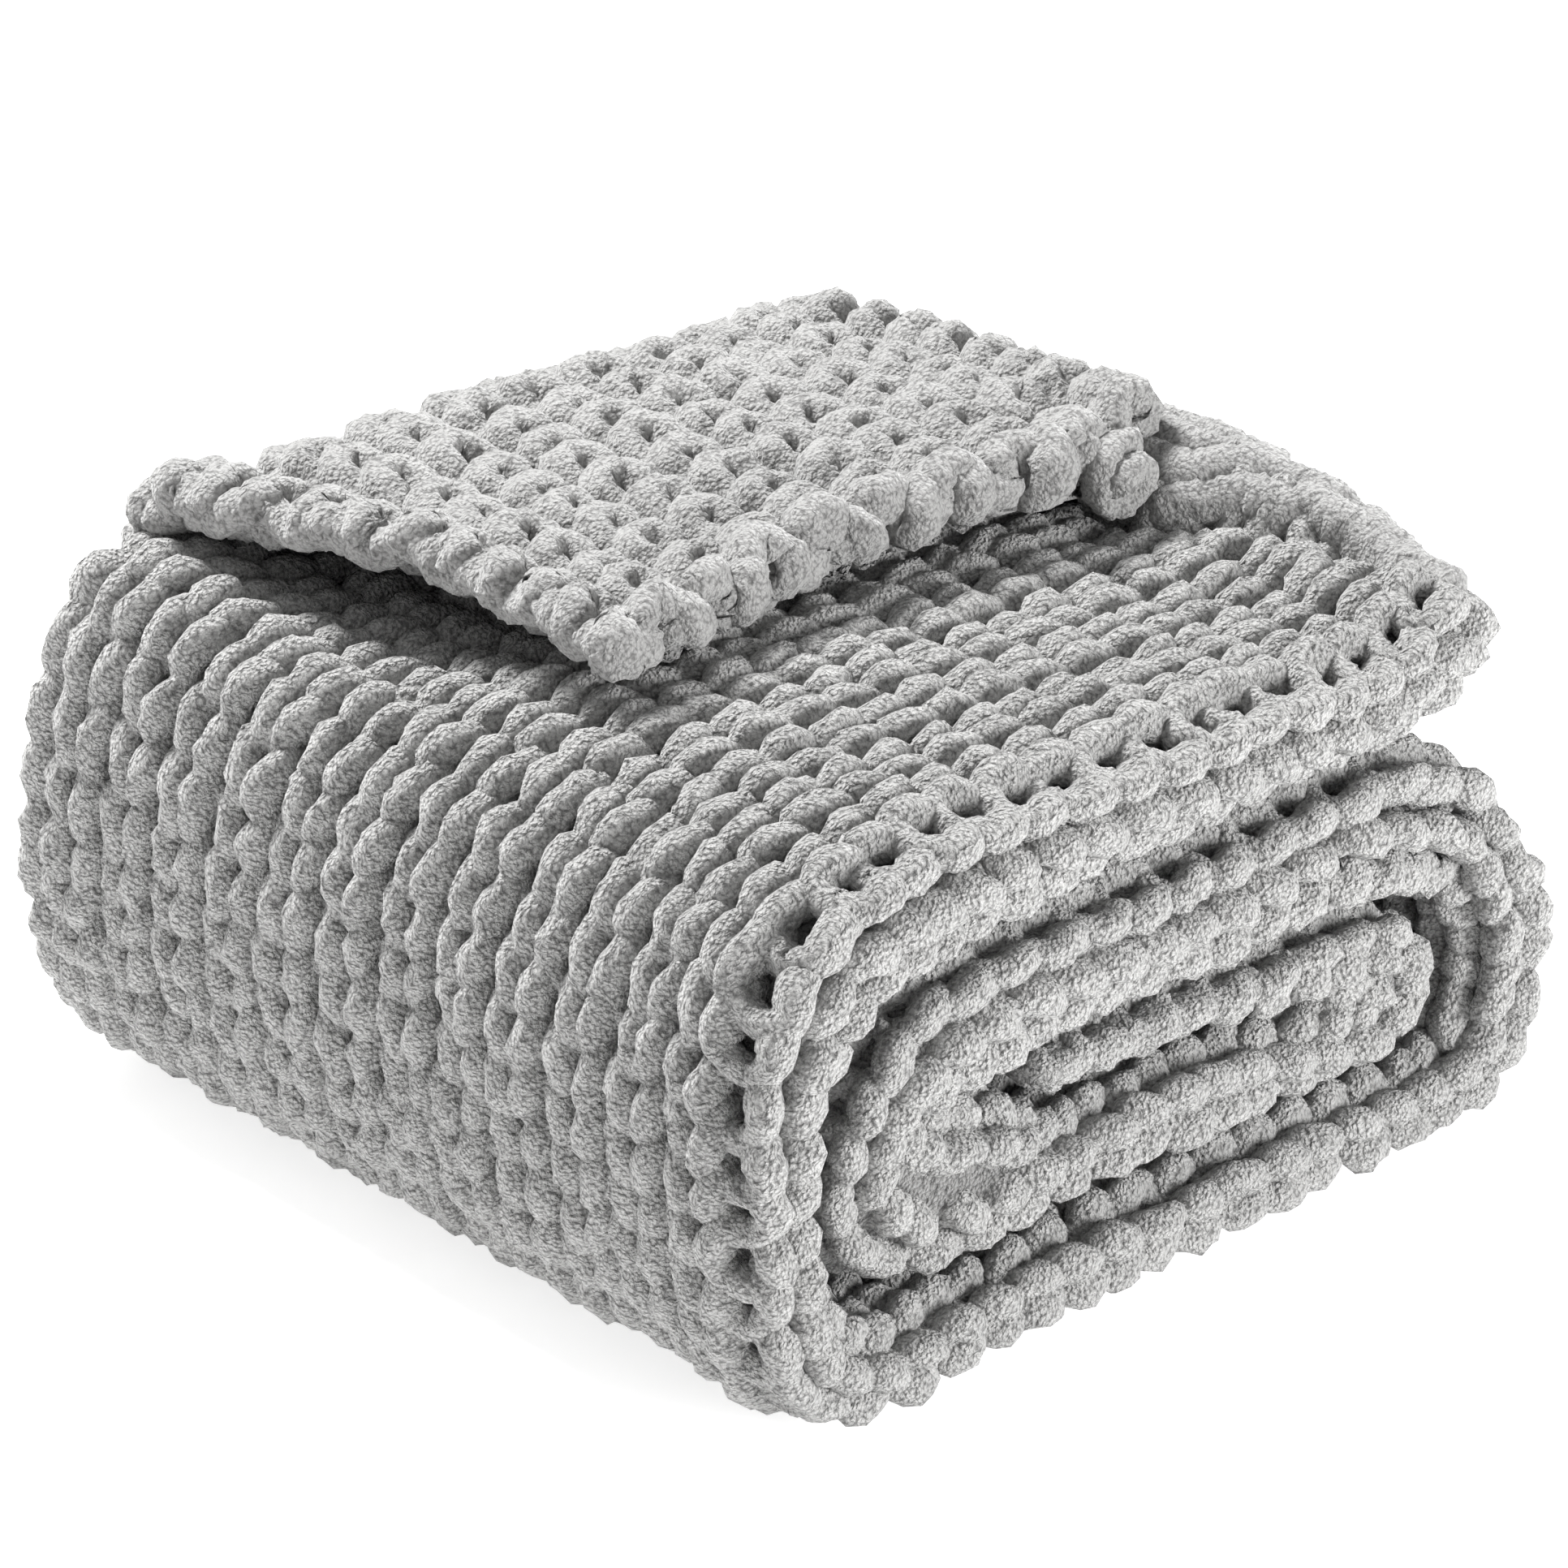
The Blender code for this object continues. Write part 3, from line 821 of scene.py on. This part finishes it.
def ridge_ropes(mesh):
    """Strands along the ridge at the top's right end, from the near end to the knob."""
    steps = RIDGE_STEPS
    wales = np.linspace(*RIDGE_WALES, steps)
    spots, _ = strip_surface(np.full(steps, path_length_at_row(RIDGE_TOP_ROW)), wales, np.zeros(steps))
    first, last = map(path_length_at_row, RIDGE_ROWS)
    top = (PATH_LENGTHS > first) & (PATH_LENGTHS < last)
    start = np.interp(crevice_x(spots[:, 1]), PATH_LINE["outer_x"][top], PATH_LENGTHS[top])
    for beyond in RIDGE_STRANDS:
        along = start + beyond + smooth_random(steps, *RIDGE_ALONG_WOBBLE)
        radii = YARN_RADIUS * (RIDGE_RADIUS + smooth_random(steps, *RIDGE_RADIUS_WOBBLE))
        depth = RIDGE_DEPTH + smooth_random(steps, *RIDGE_DEPTH_WOBBLE)
        centres, outs = strip_surface(along, wales, depth)
        sweep(mesh, centres, outs, radii, RIDGE_SIDES)


def add_strip_core(mesh):
    """The strip under its yarn, which stops light and hides the ropes' inner sides."""
    profile = np.concatenate(
        [
            np.linspace(-THICK_TURN, 0, CORE_END_POINTS),
            CORE_GROOVE_WALES,
            np.arange(1, FACE_WALES),
            np.linspace(FACE_WALES, FACE_WALES + THICK_TURN, CORE_END_POINTS),
        ]
    )
    groove = CORE_GROOVE * np.exp(-((profile / CORE_GROOVE_WIDTH) ** 2))
    across = np.linspace(0, 1, CORE_HIDDEN_POINTS)[1:-1, None]
    # The roll's inside ends, and the outer turns start, between these two places
    rolled, outer = INSET_PLACES[1:3]
    rings = []
    for along in np.linspace(CORE_START, path_length_at_row(CORE_END_ROW), CORE_STATIONS):
        surface, normals = strip_surface(np.full(len(profile), along), profile, np.zeros(len(profile)))
        inset = np.interp(along, (rolled, outer), CORE_INSETS) + groove * ease(along, rolled, outer)
        ring = surface - normals * inset[:, None]
        rings.append(np.concatenate([ring, ring[-1] + across * (ring[0] - ring[-1])]))
    points = np.concatenate(rings)
    points[:, 2] = np.maximum(points[:, 2], CORE_LOWEST)
    mesh.add(points, grid_faces(CORE_STATIONS, len(rings[0]), True))


def add_flap_core(mesh):
    """A thin sheet in the middle of the turned-back end, which stops light between its ropes."""
    columns, rows = SHEET_POINTS
    across = np.linspace(-SHEET_MARGIN, FLAP_WIDTH + SHEET_MARGIN, columns)
    along = np.linspace(*SHEET_ALONG, rows)
    across, along = [grid.ravel() for grid in np.meshgrid(across, along)]
    inside = ease(across, -SHEET_RIM, SHEET_MARGIN)
    inside *= ease(across, FLAP_WIDTH + SHEET_RIM, FLAP_WIDTH - SHEET_MARGIN)
    inside *= ease(along, 0.0, SHEET_NEAR_RIM)
    faces = grid_faces(rows, columns, False)
    for deeper, turned in ((0.0, faces), (SHEET_THICKNESS, faces[:, ::-1])):
        points, _ = flap_surface(across, along, SHEET_DEPTH + (SHEET_SINK + deeper) * inside)
        mesh.add(points, turned)


def add_noise(tree, place, kind):
    """A noise texture over the object's own coordinates."""
    noise = tree.nodes.new("ShaderNodeTexNoise")
    for socket, value in zip(("Scale", "Detail", "Roughness"), kind):
        noise.inputs[socket].default_value = value
    tree.links.new(place.outputs["Object"], noise.inputs["Vector"])
    return noise


def chenille_material(name):
    """Plush chenille: small curled tufts, soft all over, with pits between them that are coloured dark as
    painted shade.
    """
    light, dark, pile = YARNS[name]
    material = bpy.data.materials.new(name)
    material.use_nodes = True
    tree = material.node_tree
    nodes = tree.nodes
    links = tree.links
    shader = nodes["Principled BSDF"]
    shader.inputs["Roughness"].default_value = 0.95
    shader.inputs["Specular IOR Level"].default_value = 0.15
    shader.inputs["Sheen Weight"].default_value = 0.35
    shader.inputs["Sheen Roughness"].default_value = 0.55
    place = nodes.new("ShaderNodeTexCoord")
    # Tufts whose places are bent by a noise
    warp = add_noise(tree, place, WARP_NOISE)
    bend = nodes.new("ShaderNodeVectorMath")
    bend.operation = "MULTIPLY_ADD"
    links.new(warp.outputs["Color"], bend.inputs[0])
    bend.inputs[1].default_value = (WARP_REACH, WARP_REACH, WARP_REACH)
    links.new(place.outputs["Object"], bend.inputs[2])
    tuft = nodes.new("ShaderNodeTexVoronoi")
    tuft.feature = "F1"
    tuft.inputs["Scale"].default_value = TUFT_SCALE
    links.new(bend.outputs[0], tuft.inputs["Vector"])
    # Each tuft is a rounded top that falls off to a pit, with uneven fibres
    top = nodes.new("ShaderNodeMath")
    top.operation = "MULTIPLY_ADD"
    links.new(tuft.outputs["Distance"], top.inputs[0])
    top.inputs[1].default_value = TUFT_FALL
    top.inputs[2].default_value = TUFT_TOP
    fibre = add_noise(tree, place, FIBRE_NOISE)
    height = nodes.new("ShaderNodeMath")
    height.operation = "MULTIPLY_ADD"
    links.new(fibre.outputs["Fac"], height.inputs[0])
    height.inputs[1].default_value = FIBRE_HEIGHT
    links.new(top.outputs[0], height.inputs[2])
    # Colour from pit to tip, the pits darkened as painted shade, and darker in patches
    ramp = nodes.new("ShaderNodeValToRGB")
    ramp.color_ramp.elements[0].position = PIT_SHADE_BELOW
    ramp.color_ramp.elements[0].color = dark
    ramp.color_ramp.elements[1].position = LIGHT_ABOVE
    ramp.color_ramp.elements[1].color = light
    links.new(height.outputs[0], ramp.inputs["Fac"])
    patch = add_noise(tree, place, PATCH_NOISE)
    tint = nodes.new("ShaderNodeMix")
    tint.data_type = "RGBA"
    tint.blend_type = "MULTIPLY"
    tint.inputs["Factor"].default_value = PATCH_STRENGTH
    links.new(ramp.outputs["Color"], tint.inputs[6])
    links.new(patch.outputs["Fac"], tint.inputs[7])
    links.new(tint.outputs[2], shader.inputs["Base Color"])
    bump = nodes.new("ShaderNodeBump")
    bump.inputs["Strength"].default_value = 1.0
    bump.inputs["Distance"].default_value = pile
    links.new(height.outputs[0], bump.inputs["Height"])
    links.new(bump.outputs["Normal"], shader.inputs["Normal"])
    return material


def floor_material():
    """A pale matte floor that glows a little, so that it stays white."""
    material = bpy.data.materials.new("pale_floor")
    material.use_nodes = True
    shader = material.node_tree.nodes["Principled BSDF"]
    shader.inputs["Base Color"].default_value = (FLOOR_GREY, FLOOR_GREY, FLOOR_GREY, 1.0)
    shader.inputs["Roughness"].default_value = 0.9
    shader.inputs["Emission Color"].default_value = (1.0, 1.0, 1.0, 1.0)
    shader.inputs["Emission Strength"].default_value = FLOOR_GLOW
    return material


def set_camera():
    """The photo's camera."""
    sin_a, cos_a = math.sin(CAMERA_AZIMUTH), math.cos(CAMERA_AZIMUTH)
    sin_e, cos_e = math.sin(CAMERA_ELEVATION), math.cos(CAMERA_ELEVATION)
    back = Vector((sin_a * cos_e, -cos_a * cos_e, sin_e))
    right = Vector((cos_a, sin_a, 0.0))
    up = back.cross(right)
    data = bpy.data.cameras.new("camera")
    data.sensor_fit = "HORIZONTAL"
    data.sensor_width = SENSOR_WIDTH
    data.lens = LENS
    camera = bpy.data.objects.new("camera", data)
    bpy.context.scene.collection.objects.link(camera)
    matrix = Matrix((right, up, back)).transposed().to_4x4()
    matrix.translation = CAMERA_TARGET + back * CAMERA_DISTANCE
    camera.matrix_world = matrix
    bpy.context.scene.camera = camera


def add_lamp(name, place, target, size, power):
    """A round soft lamp that points at its target."""
    data = bpy.data.lights.new(name, "AREA")
    data.shape = "DISK"
    data.size = size
    data.energy = power
    light = bpy.data.objects.new(name, data)
    bpy.context.scene.collection.objects.link(light)
    light.location = place
    direction = Vector(target) - Vector(place)
    light.rotation_euler = direction.to_track_quat("-Z", "Y").to_euler()


def set_stage():
    """The floor and the lights."""
    half = FLOOR_HALF
    data = bpy.data.meshes.new("floor")
    corners = [(-half, -half, 0), (half, -half, 0), (half, half, 0), (-half, half, 0)]
    data.from_pydata(corners, [], [(0, 1, 2, 3)])
    data.materials.append(floor_material())
    floor = bpy.data.objects.new("floor", data)
    bpy.context.scene.collection.objects.link(floor)
    world = bpy.data.worlds.new("studio")
    world.use_nodes = True
    background = world.node_tree.nodes["Background"]
    background.inputs["Color"].default_value = (1.0, 1.0, 1.0, 1.0)
    background.inputs["Strength"].default_value = WORLD_STRENGTH
    bpy.context.scene.world = world
    bpy.context.scene.view_settings.view_transform = "Standard"
    for lamp in LAMPS:
        add_lamp(*lamp)


def knit_strip(material):
    """The strip's knit, in one piece for each part of its path."""
    courses = np.arange(0.5 * COURSE_PITCH, PATH_LENGTHS[-1] - 0.4 * COURSE_PITCH, COURSE_PITCH)
    pieces = []
    for name, start_row, end_row, parts in STRIP_PIECES:
        start, end = path_length_at_row(start_row), path_length_at_row(end_row)
        mesh = Mesh()
        for middle in courses[(courses >= start) & (courses < end)]:
            covered = UNDER_FLAP_START < middle < UNDER_FLAP_END
            for first, last, detail in UNDER_FLAP if covered else parts:
                strip_course(mesh, middle, first, last, detail)
        pieces.append(make_object(name, mesh, material))
    return pieces


def knit_flap(material):
    """The turned-back end's knit, with its edges, its knob and the ridge beside it."""
    mesh = Mesh()
    for middle in np.arange(FLAP_COURSE_START, FLAP_COURSE_END, BUMP_PITCH):
        flap_course(mesh, middle)
    flap_fingers(mesh)
    for across, start, end in EDGE_ROPES:
        flap_edge(mesh, across, start, end)
    flap_knob(mesh)
    ridge_ropes(mesh)
    return make_object("knit_flap", mesh, material)


def knit_core(material):
    """The cloth under the yarn, coloured dark as painted shade."""
    mesh = Mesh()
    add_strip_core(mesh)
    add_flap_core(mesh)
    return make_object("knit_core", mesh, material)


def dress():
    """Knits every piece, and lets it stand for the blanket's solid."""
    pieces = knit_strip(chenille_material("chenille"))
    # The turned-back end, its edges, knob and ridge take the darker copy: painted shade on the lit top and
    # the ridge
    pieces.append(knit_flap(chenille_material("chenille_back_painted_shade")))
    # The strip's core and the turned-back end's sheet are coloured darker than the yarn, as painted shade
    # between the ropes
    pieces.append(knit_core(chenille_material("chenille_core_painted_shade")))
    for piece in pieces:
        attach(piece, "root")
        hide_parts("blanket")


def main():
    set_camera()
    set_stage()
    dress()


main()
